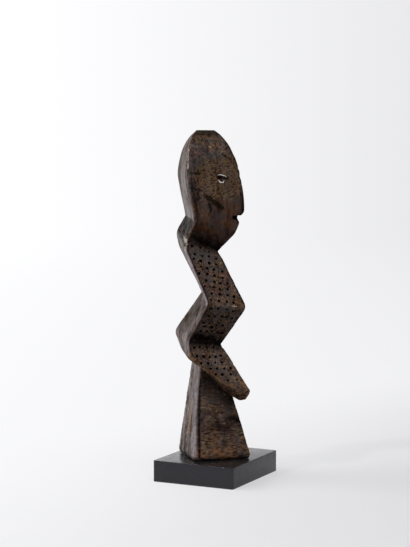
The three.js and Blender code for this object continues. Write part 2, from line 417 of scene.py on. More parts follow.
def ring(row, flat):
    front, side, back = row
    ahead = side + (front - side) * flat / norm(front - side)
    behind = side + (back - side) * flat / norm(back - side)
    runs = ((front, ahead, FRONT_COLUMNS), (ahead, behind, FLAT_COLUMNS), (behind, back, BACK_COLUMNS))
    half = [start + (end - start) * i / count for start, end, count in runs for i in range(count)]
    other = [point * (-1, 1, 1) for point in half[:0:-1]]
    return np.array(half + [back] + other)


body_grid = [ring(row, EDGE_FLAT) for row in body + head]
rim = body_grid[-1]
body_grid += [rim + (rim.mean(axis=0) - rim) * i / CROWN_RINGS for i in range(1, CROWN_RINGS)]
body_grid = np.array(body_grid)
print("grid of the body:", body_grid.shape)

# %% [markdown]
# ## The foot
#
# The foot is a flared rhomb that runs up into the thigh. Its lower edge has been worn round,
# more in some places than in others.

# %% Rings of the foot
FOOT_TOP = [(9.5, 81.5), (-9, 18, 87.6), (-25, 92)]
FOOT_SOLE = [(36.2, 4.5), (-2.6, 39, 4.5), (-40, 4.5)]
FOOT_BOW = 1.9
SOLE_WEAR = 1.7
WEAR_STEPS = 6


def foot_row(share):
    """The corners between the sole (0) and the top (1). The side ridge bows a little backwards."""
    low, high = rhomb(*FOOT_SOLE), rhomb(*FOOT_TOP)
    row = low + (high - low) * share
    row[1] += (0, FOOT_BOW * 4 * share * (1 - share), 0)
    return row


def foot_rings():
    sole = ring(foot_row(0), FOOT_EDGE_FLAT)
    height = sole[0, 2]
    inward = sole.mean(axis=0) - sole
    inward /= norm(inward, axis=1)[:, None]
    rings = []
    for i in range(WEAR_STEPS):
        turn = i / WEAR_STEPS * pi / 2
        lower = sole + inward * SOLE_WEAR * (1 - sin(turn))
        lower[:, 2] = height * (1 - cos(turn))
        rings.append(lower)
    steps = round(norm(foot_row(1)[0] - foot_row(0)[0]) / ROW_STEP)
    return rings + [ring(foot_row(i / steps), FOOT_EDGE_FLAT) for i in range(steps + 1)]


foot_grid = np.array(foot_rings())
print("grid of the foot:", foot_grid.shape)

# %% [markdown]
# ## Worn edges
#
# Hands and cloth rub an outer edge and never reach a hollow. Smoothing the grid rounds every
# edge alike. So the smoothed place is mostly kept where it lies under the old surface, and a
# noise field decides how much of it, because wear is never even.

# %% Wear
WEAR = dict(passes=3, patch=13, middle=0.75, spread=0.5, least=0.25)
SEED_SHIFT = 17.3


def ripple(points, size, seed=0, stretch=(1, 1, 1)):
    """Soft noise from -1 to 1 with waves about `size` millimetres long."""
    at = points / (np.array(stretch) * size) + seed * SEED_SHIFT
    flat = at.reshape(-1, 3)
    return np.array([noise.noise(point) for point in flat]).reshape(points.shape[:-1])


def clamp(value, low=0.0, high=1.0):
    return np.minimum(np.maximum(value, low), high)


def smoothed(grid, passes):
    for _ in range(passes):
        across = (np.roll(grid, 1, axis=1) + np.roll(grid, -1, axis=1)) / 2
        upwards = grid.copy()
        upwards[1:-1] = (grid[:-2] + grid[2:]) / 2
        grid = (2 * grid + across + upwards) / 4
    return grid


def outward(grid):
    """The grid's outward direction at each point."""
    across = np.roll(grid, -1, axis=1) - np.roll(grid, 1, axis=1)
    normal = np.cross(across, np.gradient(grid, axis=0))
    return normal / np.maximum(norm(normal, axis=2), 1e-9)[:, :, None]


def worn(grid):
    soft = smoothed(grid, WEAR["passes"])
    moved = soft - grid
    inward = (moved * outward(soft)).sum(axis=2) < 0
    amount = clamp(WEAR["middle"] + WEAR["spread"] * ripple(grid, WEAR["patch"], seed=1), WEAR["least"])
    keep = np.where(inward, amount, WEAR["least"])
    return grid + moved * keep[:, :, None]


body_grid = worn(body_grid)
foot_sole = foot_grid[0].copy()
foot_grid = worn(foot_grid)
foot_grid[0] = foot_sole
print("edges worn")

# %% [markdown]
# ## Tool marks
#
# A facet cut with a knife is not a plane. It swells and dips by a fraction of a millimetre,
# and short scoops run along the grain. Round each eye the skin was once scraped and painted,
# so an oval there lies a little lower and is rough. The foot was dressed across the grain and
# has short level scores. All of this is one height in millimetres for each point of the grid.

# %% Relief
EYE_ZONE = dict(across=15, height=261.2, half_width=14.8, half_height=19, squareness=2.8, border=0.18,
                lowest=228, furthest_back=12)
SWELL = dict(depth=0.22, size=15)
SCOOP = dict(depth=0.22, size=5.5, stretch=(1, 1, 1.9))
ZONE_DEPTH = 0.35
ZONE_ROUGH = dict(depth=0.22, size=2.3)
SCORE = dict(depth=0.3, size=3.2, stretch=(3.2, 3.2, 0.8))
NICK = dict(depth=0.7, size=4.5, start=0.28, reach=1.6)


def eye_zone(points):
    """1 inside the scraped oval on either cheek, 0 outside, with a ragged border."""
    across = (np.abs(points[..., 0]) - EYE_ZONE["across"]) / EYE_ZONE["half_width"]
    up = (points[..., 2] - EYE_ZONE["height"]) / EYE_ZONE["half_height"]
    ragged = 0.1 * ripple(points, 3.5, seed=5) + 0.1 * ripple(points, 9, seed=6)
    power = EYE_ZONE["squareness"]
    out = (np.abs(across) ** power + np.abs(up) ** power) ** (1 / power)
    inside = clamp((1 - out + ragged) / EYE_ZONE["border"] + 0.5)
    return inside * (points[..., 2] > EYE_ZONE["lowest"]) * (points[..., 1] < EYE_ZONE["furthest_back"])


def scoops(points):
    at = (points / (np.array(SCOOP["stretch"]) * SCOOP["size"])).reshape(-1, 3)
    middle = np.array([noise.voronoi(point)[0][0] for point in at])
    return -(1 - clamp(middle * 1.4) ** 2).reshape(points.shape[:-1])


def ridge_closeness(grid, reach):
    """1 on a ridge of the grid and 0 further than `reach` from it."""
    ahead = FRONT_COLUMNS + FLAT_COLUMNS / 2
    columns = grid.shape[1]
    closest = np.inf
    for column in (0, ahead, columns // 2, columns - ahead):
        line = (grid[:, int(column)] + grid[:, math.ceil(column) % columns]) / 2
        closest = np.minimum(closest, norm(grid - line[:, None, :], axis=2))
    return clamp(1 - closest / reach)


def relief(grid, foot):
    zone = 0 if foot else eye_zone(grid)
    height = SWELL["depth"] * ripple(grid, SWELL["size"], seed=2)
    height += SCOOP["depth"] * (scoops(grid) + 0.5) * (1 - 0.7 * zone)
    height -= zone * (ZONE_DEPTH + ZONE_ROUGH["depth"] * ripple(grid, ZONE_ROUGH["size"], seed=3))
    if foot:
        height += SCORE["depth"] * ripple(grid, SCORE["size"], 4, SCORE["stretch"])
    nick = clamp(ripple(grid, NICK["size"], seed=7) - NICK["start"]) / (1 - NICK["start"])
    return height - NICK["depth"] * 2 * nick * ridge_closeness(grid, NICK["reach"])


def carved(grid, foot=False):
    return grid + outward(grid) * relief(grid, foot)[:, :, None]


body_grid = carved(body_grid)
body_grid[:, :, 2] = np.minimum(body_grid[:, :, 2], CROWN_HEIGHT)
foot_grid = carved(foot_grid, foot=True)
foot_grid[0] = foot_sole
foot_grid[:, :, 2] = np.maximum(foot_grid[:, :, 2], 0)
print("relief cut")

# %% [markdown]
# ## Skins and cuts
#
# A grid of rings becomes a closed mesh of quads with a cap at either end. Solid pieces are then
# joined and cut as a carver would think of it: add the foot and the nose, cut the mouth, the
# eyes and the pits. Blender's Boolean modifier does each step on closed meshes. A cut keeps the
# material of the tool that made it, so the inside of a burnt pit is burnt wood.

# %% Mesh helpers
wood, wood_nodes = new_material("handled_dark_wood")
burnt, burnt_nodes = new_material("burnt_wood")
pale, pale_nodes = new_material("pale_remains")


def mesh_object(name, points, faces, material=wood):
    mesh = bpy.data.meshes.new(name)
    lifted = (np.asarray(points, float) + (0, 0, FIGURE_LIFT)) * MM
    mesh.from_pydata(lifted.tolist(), [], faces)
    mesh.validate()
    mesh.materials.append(material)
    made = bpy.data.objects.new(name, mesh)
    bpy.context.scene.collection.objects.link(made)
    return made


def tube(rings, count):
    """Faces of a closed tube: quads between rings of `count` points and a cap at either end."""
    faces = []
    for low in range(0, (rings - 1) * count, count):
        for i in range(count):
            j = (i + 1) % count
            faces.append((low + i, low + j, low + count + j, low + count + i))
    return faces + [tuple(range(count - 1, -1, -1)), tuple(range((rings - 1) * count, rings * count))]


def skin(name, grid):
    """A closed mesh over rings listed from the lowest up."""
    return mesh_object(name, grid.reshape(-1, 3), tube(*grid.shape[:2]))


def bake(target):
    """Turns an object's modifier into its mesh."""
    graph = bpy.context.evaluated_depsgraph_get()
    result = bpy.data.meshes.new_from_object(target.evaluated_get(graph))
    target.modifiers.clear()
    target.data = result


def combine(target, tool, operation):
    step = target.modifiers.new("step", "BOOLEAN")
    step.operation = operation
    step.solver = "MANIFOLD"
    step.material_mode = "TRANSFER"
    step.object = tool
    bake(target)
    print(operation.lower(), "with", tool.name, "leaves", len(target.data.polygons), "faces")
    bpy.data.objects.remove(tool)


figure = skin("figure_carving", body_grid)
combine(figure, skin("foot", foot_grid), "UNION")

# %% [markdown]
# ## The nose
#
# The nose is a low, blunt ridge along the front of the face. It stands prouder towards its
# rounded tip and dies out at the brow.

# %% Nose
NOSE = dict(top=256, tip=228.6, width=4.8, proud=1.8, root=5, buried=0.4, taper=0.45, flank=0.55)
NOSE_STEPS = 24
NOSE_CROWDING = 1.3
NOSE_SIDES = 9
NOSE_TIP_ROUND = 5.5
NOSE_TIP_DROP = 2.6


def nose_ring(height):
    share = (height - NOSE["tip"]) / (NOSE["top"] - NOSE["tip"])
    ridge = BROW["middle"] + ellipse(BROW, height)
    rounding = max(0, 1 - (height - NOSE["tip"]) / NOSE_TIP_ROUND)
    proud = NOSE["proud"] + (-NOSE["buried"] - NOSE["proud"]) * share - NOSE_TIP_DROP * rounding ** 2.5
    half = NOSE["width"] / 2 * (1 - NOSE["taper"] * share) * (1 - 0.25 * rounding ** 2)
    tip = ridge + proud
    face = []
    for i in range(NOSE_SIDES):
        turn = pi * i / (NOSE_SIDES - 1)
        face.append((half * cos(turn), -(tip - NOSE["flank"] * half * (1 - sin(turn))), height))
    root = [(-half, -(tip - NOSE["root"]), height), (half, -(tip - NOSE["root"]), height)]
    return (face + root)[::-1]


nose_length = NOSE["top"] - NOSE["tip"]
shares = [(i / NOSE_STEPS) ** NOSE_CROWDING for i in range(NOSE_STEPS + 1)]
rings = [nose_ring(NOSE["tip"] + nose_length * share) for share in shares]
combine(figure, skin("nose", np.array(rings)), "UNION")

# %% [markdown]
# ## The mouth
#
# Under the nose a slot is cut across the ridge, level above and sloping below, so that the
# lower lip stands out. Four small burnt holes are cut into its depth later, with the pits.

# %% Mouth
MOUTH = dict(top=228.2, root_height=3, lip_height=7.5, root=19.8, lip=25, half_width=9)
MOUTH_OVERSHOOT = 7


def turned_out(made):
    """Makes sure that a small tool's faces point outwards."""
    edit = bmesh.new()
    edit.from_mesh(made.data)
    bmesh.ops.recalc_face_normals(edit, faces=edit.faces)
    edit.to_mesh(made.data)
    edit.free()
    return made


slope = (MOUTH["lip_height"] - MOUTH["root_height"]) / (MOUTH["lip"] - MOUTH["root"])
front = MOUTH["lip"] + MOUTH_OVERSHOOT
slot = [
    (MOUTH["root"], MOUTH["top"] - MOUTH["root_height"]),
    (front, MOUTH["top"] - MOUTH["lip_height"] - slope * MOUTH_OVERSHOOT),
    (front, MOUTH["top"]),
    (MOUTH["root"], MOUTH["top"]),
]
points = [(x, -forward, up) for x in (-MOUTH["half_width"], MOUTH["half_width"]) for forward, up in slot]
combine(figure, turned_out(mesh_object("mouth", points, tube(2, len(slot)), burnt)), "DIFFERENCE")

# %% [markdown]
# ## Facet frames
#
# Eyes and pits are cut square to the facet they sit on. A facet frame is a small coordinate
# system there: X runs across the facet from the front ridge to the side, Y runs up it and Z
# points out of the wood.

# %% Facet frame
def frame_of(x, y, out, origin):
    """A 4 by 4 matrix of three directions and a place."""
    matrix = np.eye(4)
    matrix[:3] = np.transpose([x, y, out, origin])
    return matrix


def facet_frame(row, upper, across, side):
    def spot(at):
        return (at[0] + (at[1] - at[0]) * across) * (side, 1, 1)
    origin = spot(row)
    x = (row[1] - row[0]) * (side, 1, 1)
    x /= norm(x)
    out = np.cross(x, spot(upper) - origin) * side
    out /= norm(out)
    return frame_of(x, np.cross(out, x) * side, out, origin)


def placed(points, matrix):
    return np.asarray(points, float) @ matrix[:3, :3].T + matrix[:3, 3]


jaw = head_row(BENDS["jaw"][SIDE][2])
print("a cheek faces", facet_frame(jaw, head_row(WIDEST_HEIGHT), 0.5, 1)[:3, 2].round(2))

# %% [markdown]
# ## The eyes
#
# Each eye is an almond cut into the cheek, higher at its outer corner. Something pale was once
# pressed into it. What is left is a thin arc under the upper rim and a broken ring round a
# small dark hole. The remains are solids too, joined to the wood, and they keep a material
# of their own.

# %% Eye sockets
EYE = dict(height=262.9, across=0.36, length=10.4, opening=8.6, depth=0.8, slant=0.3)
EYE_STEPS = 10
EYE_OVERSHOOT = 1.4


def lifted_outline(outline, levels):
    """Points and faces of a closed body: one outline at several (height, scale) levels."""
    points = [(x * scale, y * scale, z) for z, scale in levels for x, y in outline]
    return points, tube(len(levels), len(outline))


def almond(length, opening, steps):
    half = length / 2
    upper = [(half * (1 - 2 * t), opening * 2 * t * (1 - t)) for t in (i / steps for i in range(steps))]
    return upper + [(-x, -y) for x, y in upper]


def spun(points, angle):
    x, y = cos(angle), sin(angle)
    return np.asarray(points, float) @ np.array([[x, -y, 0], [y, x, 0], [0, 0, 1]]).T


EYE_FRAMES = {}
for side in (-1, 1):
    EYE_FRAMES[side] = facet_frame(head_row(EYE["height"]), head_row(EYE["height"] + 1), EYE["across"], side)
    levels = [(-EYE["depth"], 0.62), (-EYE["depth"] * 0.6, 0.88), (0, 1), (EYE_OVERSHOOT, 1.08)]
    points, faces = lifted_outline(almond(EYE["length"], EYE["opening"], EYE_STEPS), levels)
    socket = mesh_object("socket", placed(spun(points, EYE["slant"]), EYE_FRAMES[side]), faces)
    combine(figure, turned_out(socket), "DIFFERENCE")

# %% Pale remains in the eyes
LID = [(3.9, 3.0, 0.2), (2.6, 3.4, 0.32), (0.8, 3.3, 0.38), (-1.2, 2.8, 0.34), (-3.1, 2.0, 0.26),
       (-4.7, 0.9, 0.12)]
RING = [(3.3, -1.2, 0.18), (2.8, -2.5, 0.42), (1.7, -3.5, 0.58), (0.2, -4.0, 0.52), (-1.2, -3.7, 0.38),
        (-1.8, -2.8, 0.22), (-1.1, -2.1, 0.12)]
EYE_HOLES = [dict(place=(2.6, 1.3), size=(0.75, 0.65)), dict(place=(0.5, -2.5), size=(0.7, 0.7))]
REMAINS = dict(top=0.2, buried=1.6, shoulder=0.35)


def strip_along(path):
    """A raised strip on a facet, from (across, up, half width) points along its middle."""
    sections = []
    top, foot = REMAINS["top"], -REMAINS["buried"]
    shoulder = top - REMAINS["shoulder"]
    for i, (x, y, half) in enumerate(path):
        before, after = path[max(0, i - 1)], path[min(len(path) - 1, i + 1)]
        way = Vector((after[0] - before[0], after[1] - before[1])).normalized()
        profile = [(-half, foot), (half, foot), (half, shoulder), (0.5 * half, top), (-0.5 * half, top),
                   (-half, shoulder)]
        sections.append([(x - way.y * off, y + way.x * off, z) for off, z in profile])
    return [point for section in sections for point in section], tube(len(sections), len(sections[0]))


for side in (-1, 1):
    for path in (LID, RING):
        points, faces = strip_along(path)
        remains = mesh_object("remains", placed(points, EYE_FRAMES[side]), faces, pale)
        combine(figure, turned_out(remains), "UNION")

# %% [markdown]
# ## The pits
#
# The pits were burnt in with a hot point, in wandering rows on the two front facets of each
# fold. Each row is spread between the ridges and every pit is then shifted a little by a
# repeatable amount, so that it looks done by eye.

# %% Places of the pits
PIT = dict(radius=1.35, depth=2.0, overshoot=0.5, sides=12, wander=1.8, stagger=0.25)
PIT_MARGIN = dict(front=0.14, side=0.12, end=0.55)
PIT_FIELDS = [
    (("neck", "shoulder", "belly"), (3, 4, 4, 4, 4, 4, 4, 4, 4)),
    (("belly", "seat"), (4, 5, 4, 5, 4)),
    (("seat", "thigh", "knee"), (4, 5, 4, 4, 3, 2)),
]


def scatter(seed):
    wave = sin(seed * 12.9898) * 43758.5453
    return wave - math.floor(wave) - 0.5


def along_path(path, share):
    corners = [rhomb(*BENDS[name]) for name in path]
    lengths = [norm(b[1] - a[1]) for a, b in zip(corners, corners[1:])]
    rest = share * sum(lengths)
    i = 0
    while i < len(lengths) - 1 and rest > lengths[i]:
        rest -= lengths[i]
        i += 1
    return corners[i] + (corners[i + 1] - corners[i]) * rest / lengths[i]


def pit_frame(path, down, across, side):
    return facet_frame(along_path(path, down), along_path(path, down - 0.01), across, side)


def pit_row(field, row, side):
    """The facet frames of one row of pits."""
    path, rows = PIT_FIELDS[field]
    length = norm(along_path(path, 1)[1] - along_path(path, 0)[1])
    down = (row + PIT_MARGIN["end"]) / (len(rows) - 1 + 2 * PIT_MARGIN["end"])
    corners = along_path(path, down)
    width = norm(corners[0] - corners[1])
    shift = 0.5 + PIT["stagger"] * (1 if row % 2 == 0 else -1)
    for i in range(rows[row]):
        seed = 1 + field * 100 + row * 10 + i + (side + 1) * 211
        spread = (i + shift) / rows[row]
        spread = PIT_MARGIN["front"] + (1 - PIT_MARGIN["side"] - PIT_MARGIN["front"]) * spread
        across = spread + PIT["wander"] * scatter(seed + 57) / width
        yield pit_frame(path, down + PIT["wander"] * scatter(seed) / length, across, side)


PIT_FRAMES = [
    matrix
    for side in (-1, 1) for field in range(len(PIT_FIELDS))
    for row in range(len(PIT_FIELDS[field][1])) for matrix in pit_row(field, row, side)
]
print("pits in rows:", len(PIT_FRAMES))

# %% Pits
SIZE_SPREAD = 0.5
BIG_PITS = [dict(down=0.58, across=0.55, size=(1.5, 1.4)), dict(down=0.58, across=0.74, size=(1.7, 0.9))]
MOUTH_PITS = dict(places=(-4.1, -1.4, 1.4, 4.1), height=226.5, size=(1.05, 1.05))
PIT_PROFILE = [(1, 0.25), (0.8, 0.62), (0.4, 0.9), (0, 1)]


def pit_tool():
    turns = [2 * pi * i / PIT["sides"] for i in range(PIT["sides"])]
    radius = PIT["radius"]
    levels = [(-depth * PIT["depth"], width * radius) for depth, width in PIT_PROFILE]
    levels.append((PIT["overshoot"], 1.15 * radius))
    return lifted_outline([(cos(turn), sin(turn)) for turn in turns], levels)


cuts = [(matrix, (1 + SIZE_SPREAD * scatter(i + 900),) * 2) for i, matrix in enumerate(PIT_FRAMES)]
for big in BIG_PITS:
    cuts.append((pit_frame(PIT_FIELDS[1][0], big["down"], big["across"], -1), big["size"]))
for x in MOUTH_PITS["places"]:
    origin = (x, -MOUTH["root"], MOUTH_PITS["height"])
    cuts.append((frame_of((1, 0, 0), (0, 0, 1), (0, -1, 0), origin), MOUTH_PITS["size"]))
for hole in EYE_HOLES:
    for side in (-1, 1):
        hole_frame = EYE_FRAMES[side].copy()
        hole_frame[:3, 3] = placed([(*hole["place"], -0.5)], EYE_FRAMES[side])[0]
        cuts.append((hole_frame, hole["size"]))

points, faces = pit_tool()
all_points, all_faces = [], []
for matrix, size in cuts:
    base = len(all_points)
    all_points.extend(placed(np.array(points) * (*size, 1), matrix))
    all_faces.extend(tuple(base + i for i in face) for face in faces)
combine(figure, turned_out(mesh_object("pits", all_points, all_faces, burnt)), "DIFFERENCE")
print("pits:", len(cuts))

# %% [markdown]
# ## Slivers
#
# Two skins that pass close by each other leave slivers where they were joined. Points that
# nearly touch are welded, and bits of a few points that hang on to nothing are dropped.

# %% Weld
WELD = 0.01
SMALLEST_BIT = 12

edit = bmesh.new()
edit.from_mesh(figure.data)
bmesh.ops.triangulate(edit, faces=[face for face in edit.faces if len(face.verts) > 4])
bmesh.ops.remove_doubles(edit, verts=edit.verts[:], dist=WELD * MM)
bmesh.ops.dissolve_degenerate(edit, edges=edit.edges[:], dist=WELD * MM)
waiting = set(edit.verts)
strays = []
while waiting:
    bit = [waiting.pop()]
    for point in bit:
        fresh = {edge.other_vert(point) for edge in point.link_edges} & waiting
        waiting -= fresh
        bit.extend(fresh)
    if len(bit) < SMALLEST_BIT:
        strays.extend(bit)
bmesh.ops.delete(edit, geom=strays, context="VERTS")
open_edges = sum(not edge.is_manifold for edge in edit.edges)
edit.to_mesh(figure.data)
edit.free()
print("stray points dropped:", len(strays), "faces:", len(figure.data.polygons), "open edges:", open_edges)

# %% [markdown]
# ## Where the finish changes
#
# The finish follows the carving: paler where hands rubbed; dusty behind, with a painted sheen
# that stands for the backdrop's reflection; sooty in creases and under overhangs, where most of
# the dark is painted shade; and painted highlights on the planed flats and some ridges. Each of
# these is a number from 0 to 1 at every point of the mesh, stored under a plain name for the
# material to read. They are worked out from the same bends and frames as the shape.

# %% Helpers for masks
def from_mesh(collection, key):
    values = np.empty(len(figure.data.vertices) * 3)
    collection.foreach_get(key, values)
    return values.reshape(-1, 3)


points = from_mesh(figure.data.vertices, "co") / MM - (0, 0, FIGURE_LIFT)
facing = from_mesh(figure.data.vertex_normals, "vector")
rearward, upward = facing[:, 1], facing[:, 2]
up = points[:, 2]
folded = points.copy()
folded[:, 0] = np.abs(points[:, 0])


def store(name, *values):
    """Keeps the strongest of some values at every point."""
    kept = np.maximum.reduce(values)
    figure.data.attributes.new(name, "FLOAT", "POINT").data.foreach_set("value", np.asarray(kept, np.float32))
    print(name, "covers", round(100 * float((kept > 0.3).mean()), 1), "percent of the points")


def distance_to(line, where=folded):
    tree = kdtree.KDTree(len(line))
    for i, point in enumerate(line):
        tree.insert(point, i)
    tree.balance()
    return np.array([tree.find(point)[2] for point in where])


def near(line, reach, where=folded):
    """1 on a line of points and 0 further than `reach` from it. Both halves, unless `points` is given."""
    return clamp(1 - distance_to(line, where) / reach)


def between(*corners, steps=40):
    """Points along a line through these corners."""
    corners = [np.asarray(corner, float) for corner in corners]
    return [a + (b - a) * i / steps for a, b in zip(corners, corners[1:]) for i in range(steps + 1)]


def trail(*places):
    """A line through places, or one place, each given as (forward, x, up)."""
    corners = [(x, -forward, up) for forward, x, up in places]
    return between(*corners) if len(corners) > 1 else corners


def marks(table):
    """The strongest of some (amount, reach, places of a trail) on the side that the photo shows."""
    return np.maximum.reduce([
        amount * near(trail(*places), reach, points) for amount, reach, *places in table
    ])


bend = {name: rhomb(*places) for name, places in {**BENDS, "sole": FOOT_SOLE}.items()}


def edge_of(name, *corners):
    """A line from corner to corner of a bend: 0 in front, 1 at the side, 2 behind."""
    return between(*(bend[name][i] for i in corners))


def beside_ridge(rows, away):
    """A line beside the side ridge, this far from it towards the first corner of each row."""
    return [side + (other - side) / norm(other - side) * away for other, side in rows]


print("points to mask:", len(points))

# %% Dust with painted sheen, and painted highlights on the flats
DUST_SHEEN_HEIGHTS = (0, 20, 90, 105, 125, 150, 165, 196, 206, 213, 221, 245, 268, 288, 300)
DUST_SHEEN_AMOUNTS = (0.7, 0.8, 0.75, 0.75, 0.2, 0.2, 0.5, 0.4, 0.2, 0.3, 1, 1, 0.5, 0.1, 0)

behind = clamp(rearward * 5)
ragged_up = up + 5 * ripple(points, 8, seed=8)
shoulder = (up > 199) * (up < 230) * (rearward > 0.2) * clamp(upward * 8)
tan_patch = marks([(1, 11, (-20, -15, 22), (-20, -14, 48))])
second_back = behind * np.interp(ragged_up, (112, 124, 148, 162), (0, 1, 1, 0))
thigh_below = (up < 100) * clamp(-upward * 4)
foot_ridge = [foot_row(i / 50)[1] for i in range(51)]
low_ridge_distance = distance_to([row[1] for row in body if 97 < row[1][2] < 147])

# Dust on the facets that face back, together with a painted sheen: the pale colour also stands for the
# reflection of the bright backdrop on these facets.
dust_and_sheen = behind * np.interp(ragged_up, DUST_SHEEN_HEIGHTS, DUST_SHEEN_AMOUNTS)
dust_and_sheen = np.maximum(dust_and_sheen, 0.7 * behind * clamp(1.3 - low_ridge_distance / 12))
dust_and_sheen = dust_and_sheen * (1 - shoulder) * (1 - tan_patch) * (1 - thigh_below)
store("dust_and_sheen", dust_and_sheen, 0.35 * near(foot_ridge, 5))

# Painted highlight: pale colour on the planed side flats of the upper body, the lower ridge and the foot's
# side ridge, where the small lamp glints.
flat_distance = distance_to([row[1] for row in body]) - EDGE_FLAT
towards_rear = [(bend["sole"][2], corner) for corner in foot_ridge]
store(
    "flat_highlight",
    clamp(0.6 - flat_distance / 0.6) * (up > 146) * (up < 199),
    clamp(1.8 * near(beside_ridge(towards_rear, 1.8), 2.6)),
    0.54 * near(beside_ridge(towards_rear, 5.5), 7) * clamp((50 - up) / 20),
    clamp(1.8 * clamp(1 - low_ridge_distance / 2.4)),
)

# %% Rubbed places
RUBS = [
    (0.6, 8, (4.9, -26.6, 21), (13, -20, 16)),
    (1.2, 8, (3.3, -29.7, 14.8), (6, -29, 8)),
    (1.8, 7.5, (18.1, -17.5, 4.4)),
    (0.5, 8, (8.8, -19.8, 27.7)),
    (0.6, 12, (2, -13, 297), (7, -10, 290)),
    (0.35, 11, (-3, -28, 236), (0, -26, 228)),
]
store(
    "rubbed",
    0.85 * near(edge_of("belly", 0, 1), 3),
    0.4 * near(edge_of("belly", 0, 1), 18) * (upward > 0),
    0.4 * near(edge_of("seat", 1, 2), 4),
    1.7 * near(between(bend["thigh"][1], bend["knee"][1], bend["beak"][1]), 6.5),
    0.9 * near(edge_of("knee", 0, 1), 8),
    1.1 * near(edge_of("sole", 0, 1), 15) * (upward > -0.2),
    1.2 * tan_patch,
    0.45 * behind * clamp((ragged_up - 262) / 12),
    0.5 * second_back,
    0.6 * thigh_below * (up > 50),
    marks(RUBS),
)

# %% Soot and painted shade
# Stains on the foot and the head; the fifth entry is shade painted into the seat crease.
STAINS_AND_CREASE_SHADE = [
    (0.8, 7.5, (8, -19.5, 32), (18, -9.5, 29)),
    (1.1, 7, (19, -8, 38), (25, -1, 36)),
    (0.6, 5, (-2, -33, 27)),
    (0.7, 6, (17.3, -15.9, 14.6)),
    (1.2, 12, (-11, -20, 114), (0, -9, 112)),
    (0.5, 3, (-2, -15, 297), (-0.7, -20, 287)),
    (0.5, 4, (-7.5, -35, 262), (-6, -34, 255)),
]
# A few entries are stains, but most of this mask is shade painted dark: under facets that face down, along
# the neck and seat creases, under the thigh, in the eye socket, on the shoulder under the head, in lines
# beside the ridges and the nose that turn away from the light, and in the contact line where the foot meets
# the plinth.
under = clamp((-upward - 0.12) * 3) * (rearward < 0.1) * (up > 50)
faces_ahead = clamp(-rearward * 4)
neck_crease = distance_to(edge_of("neck", 0, 1))
seat_crease = distance_to(edge_of("seat", 0, 1))
under_thigh = near(trail((-7, 18.5, 79), (19, 2, 55)), 17)
low_head = [(row[0], row[1]) for row in head if row[1][2] < 262]
upper_body = [(row[0], row[1]) for row in body if row[1][2] > 100]
front_ridge = [front for front, side in upper_body] + [row[0] for row in head]
nose_ridge = [row[0] - (0, NOSE["proud"], 0) for row in head if row[0][2] < 250]
store(
    "soot_and_painted_shade",
    0.45 * under,
    1.3 * under * clamp(1 - neck_crease / 26),
    0.9 * clamp(1 - neck_crease / 4),
    1.15 * clamp(1 - seat_crease / 20) * clamp(-upward * 5) * faces_ahead,
    1.1 * clamp(1 - seat_crease / 9) * faces_ahead,
    0.9 * under_thigh ** 0.7 * (upward > 0) * faces_ahead,
    1.6 * near(between(*placed([(3, 0.8, -0.5), (-4.5, 0.4, 0)], EYE_FRAMES[1])), 2.6),
    0.82 * shoulder * clamp(1 - points[:, 0] / 18, 0.35),
    0.3 * behind * clamp((ragged_up - 256) / 14),
    0.6 * second_back * clamp(low_ridge_distance / 14),
    0.35 * thigh_below,
    0.9 * near(beside_ridge(low_head, 3.8), 2.4),
    0.9 * near(beside_ridge(upper_body, 3.4), 1.7),
    near(front_ridge, 2.3),
    1.4 * near(nose_ridge, 5.5),
    1.3 * near(beside_ridge([(bend["sole"][0], corner) for corner in foot_ridge], 4.6), 2.3),
    0.6 * (up > CROWN_HEIGHT - CROWN_BEVEL - 0.4) * (upward < 0.95),
    2.0 * near(edge_of("sole", 0, 1, 2), 7) * clamp((1.6 - up) / 0.9),
    marks(STAINS_AND_CREASE_SHADE),
)

# %% Grey bloom, the scraped ovals and the smooth face
GREYS = [
    (1, 5.5, (2, -19, 284), (10.8, -9.4, 283.4)),
    (1, 8, (-7, -31, 276), (0, -25, 276)),
    (1, 8, (18.5, -16.2, 11.5)),
    (1, 7, (17.5, -3, 52.5)),
    (1, 11, (-12, -20, 193), (-2, -10, 190)),
]
zone = eye_zone(points)
store("greyed", marks(GREYS), 0.5 * under * (up > 205))
store("scraped", zone)
below_zone = (rearward < 0) * clamp(1 - 2 * zone) * clamp((248 - ragged_up) / 9)
store("smooth", below_zone * ((under > 0) & (up > 190) | (up > 214)))

# %% Marks on the side that the photograph shows
CRUST = [
    (1, 2.6, (-9.1, -35.8, 254.6), (-1.9, -29.6, 251.8)),
    (1, 2.2, (-8.5, -36, 267.8), (-2.1, -29.2, 267.4)),
    (1, 5, (2.7, -24.4, 245.7), (5, -21.8, 243.4), (11.1, -15.2, 237.2), (12.7, -13.4, 235.4)),
    (1, 3, (4, -21.8, 239.2), (4.6, -19.9, 233.1)),
    (1, 2.2, (-3.6, -31.2, 249.4), (-2.2, -29, 244.6), (-4.4, -30.8, 243.2)),
    (1, 3, (12.8, -7.1, 283.4), (11.6, -8.5, 285.2)),
]
# The first two entries are glints painted pale where the small lamp catches the rounded side ridge of the
# head and the shoulder corner; the others are chips and a rub.
CHIPS_AND_GLINTS = [
    (1, 2.3, (-12.8, -30.5, 289), (-12.6, -33, 284), (-11.5, -35.1, 277), (-11, -36, 272)),
    (1, 6, (-24.5, -18.2, 207.7), (-20.1, -22.6, 204.3)),
    (1, 1.8, (1.2, -15.2, 291.8)),
    (1, 1.2, (26, -6.3, 143.2), (20.8, -12.6, 144.4)),
]
store("crusted", marks(CRUST))
store("chips_and_glints", marks(CHIPS_AND_GLINTS))

# %% [markdown]
# ## A finish, layer by layer
#
# Every finish below is made in the same way: noise at true scale, ramps that turn it into
# patches, layers of colour painted one over another by such patches, and at the end a shader
# whose skin is dented by fine noise.

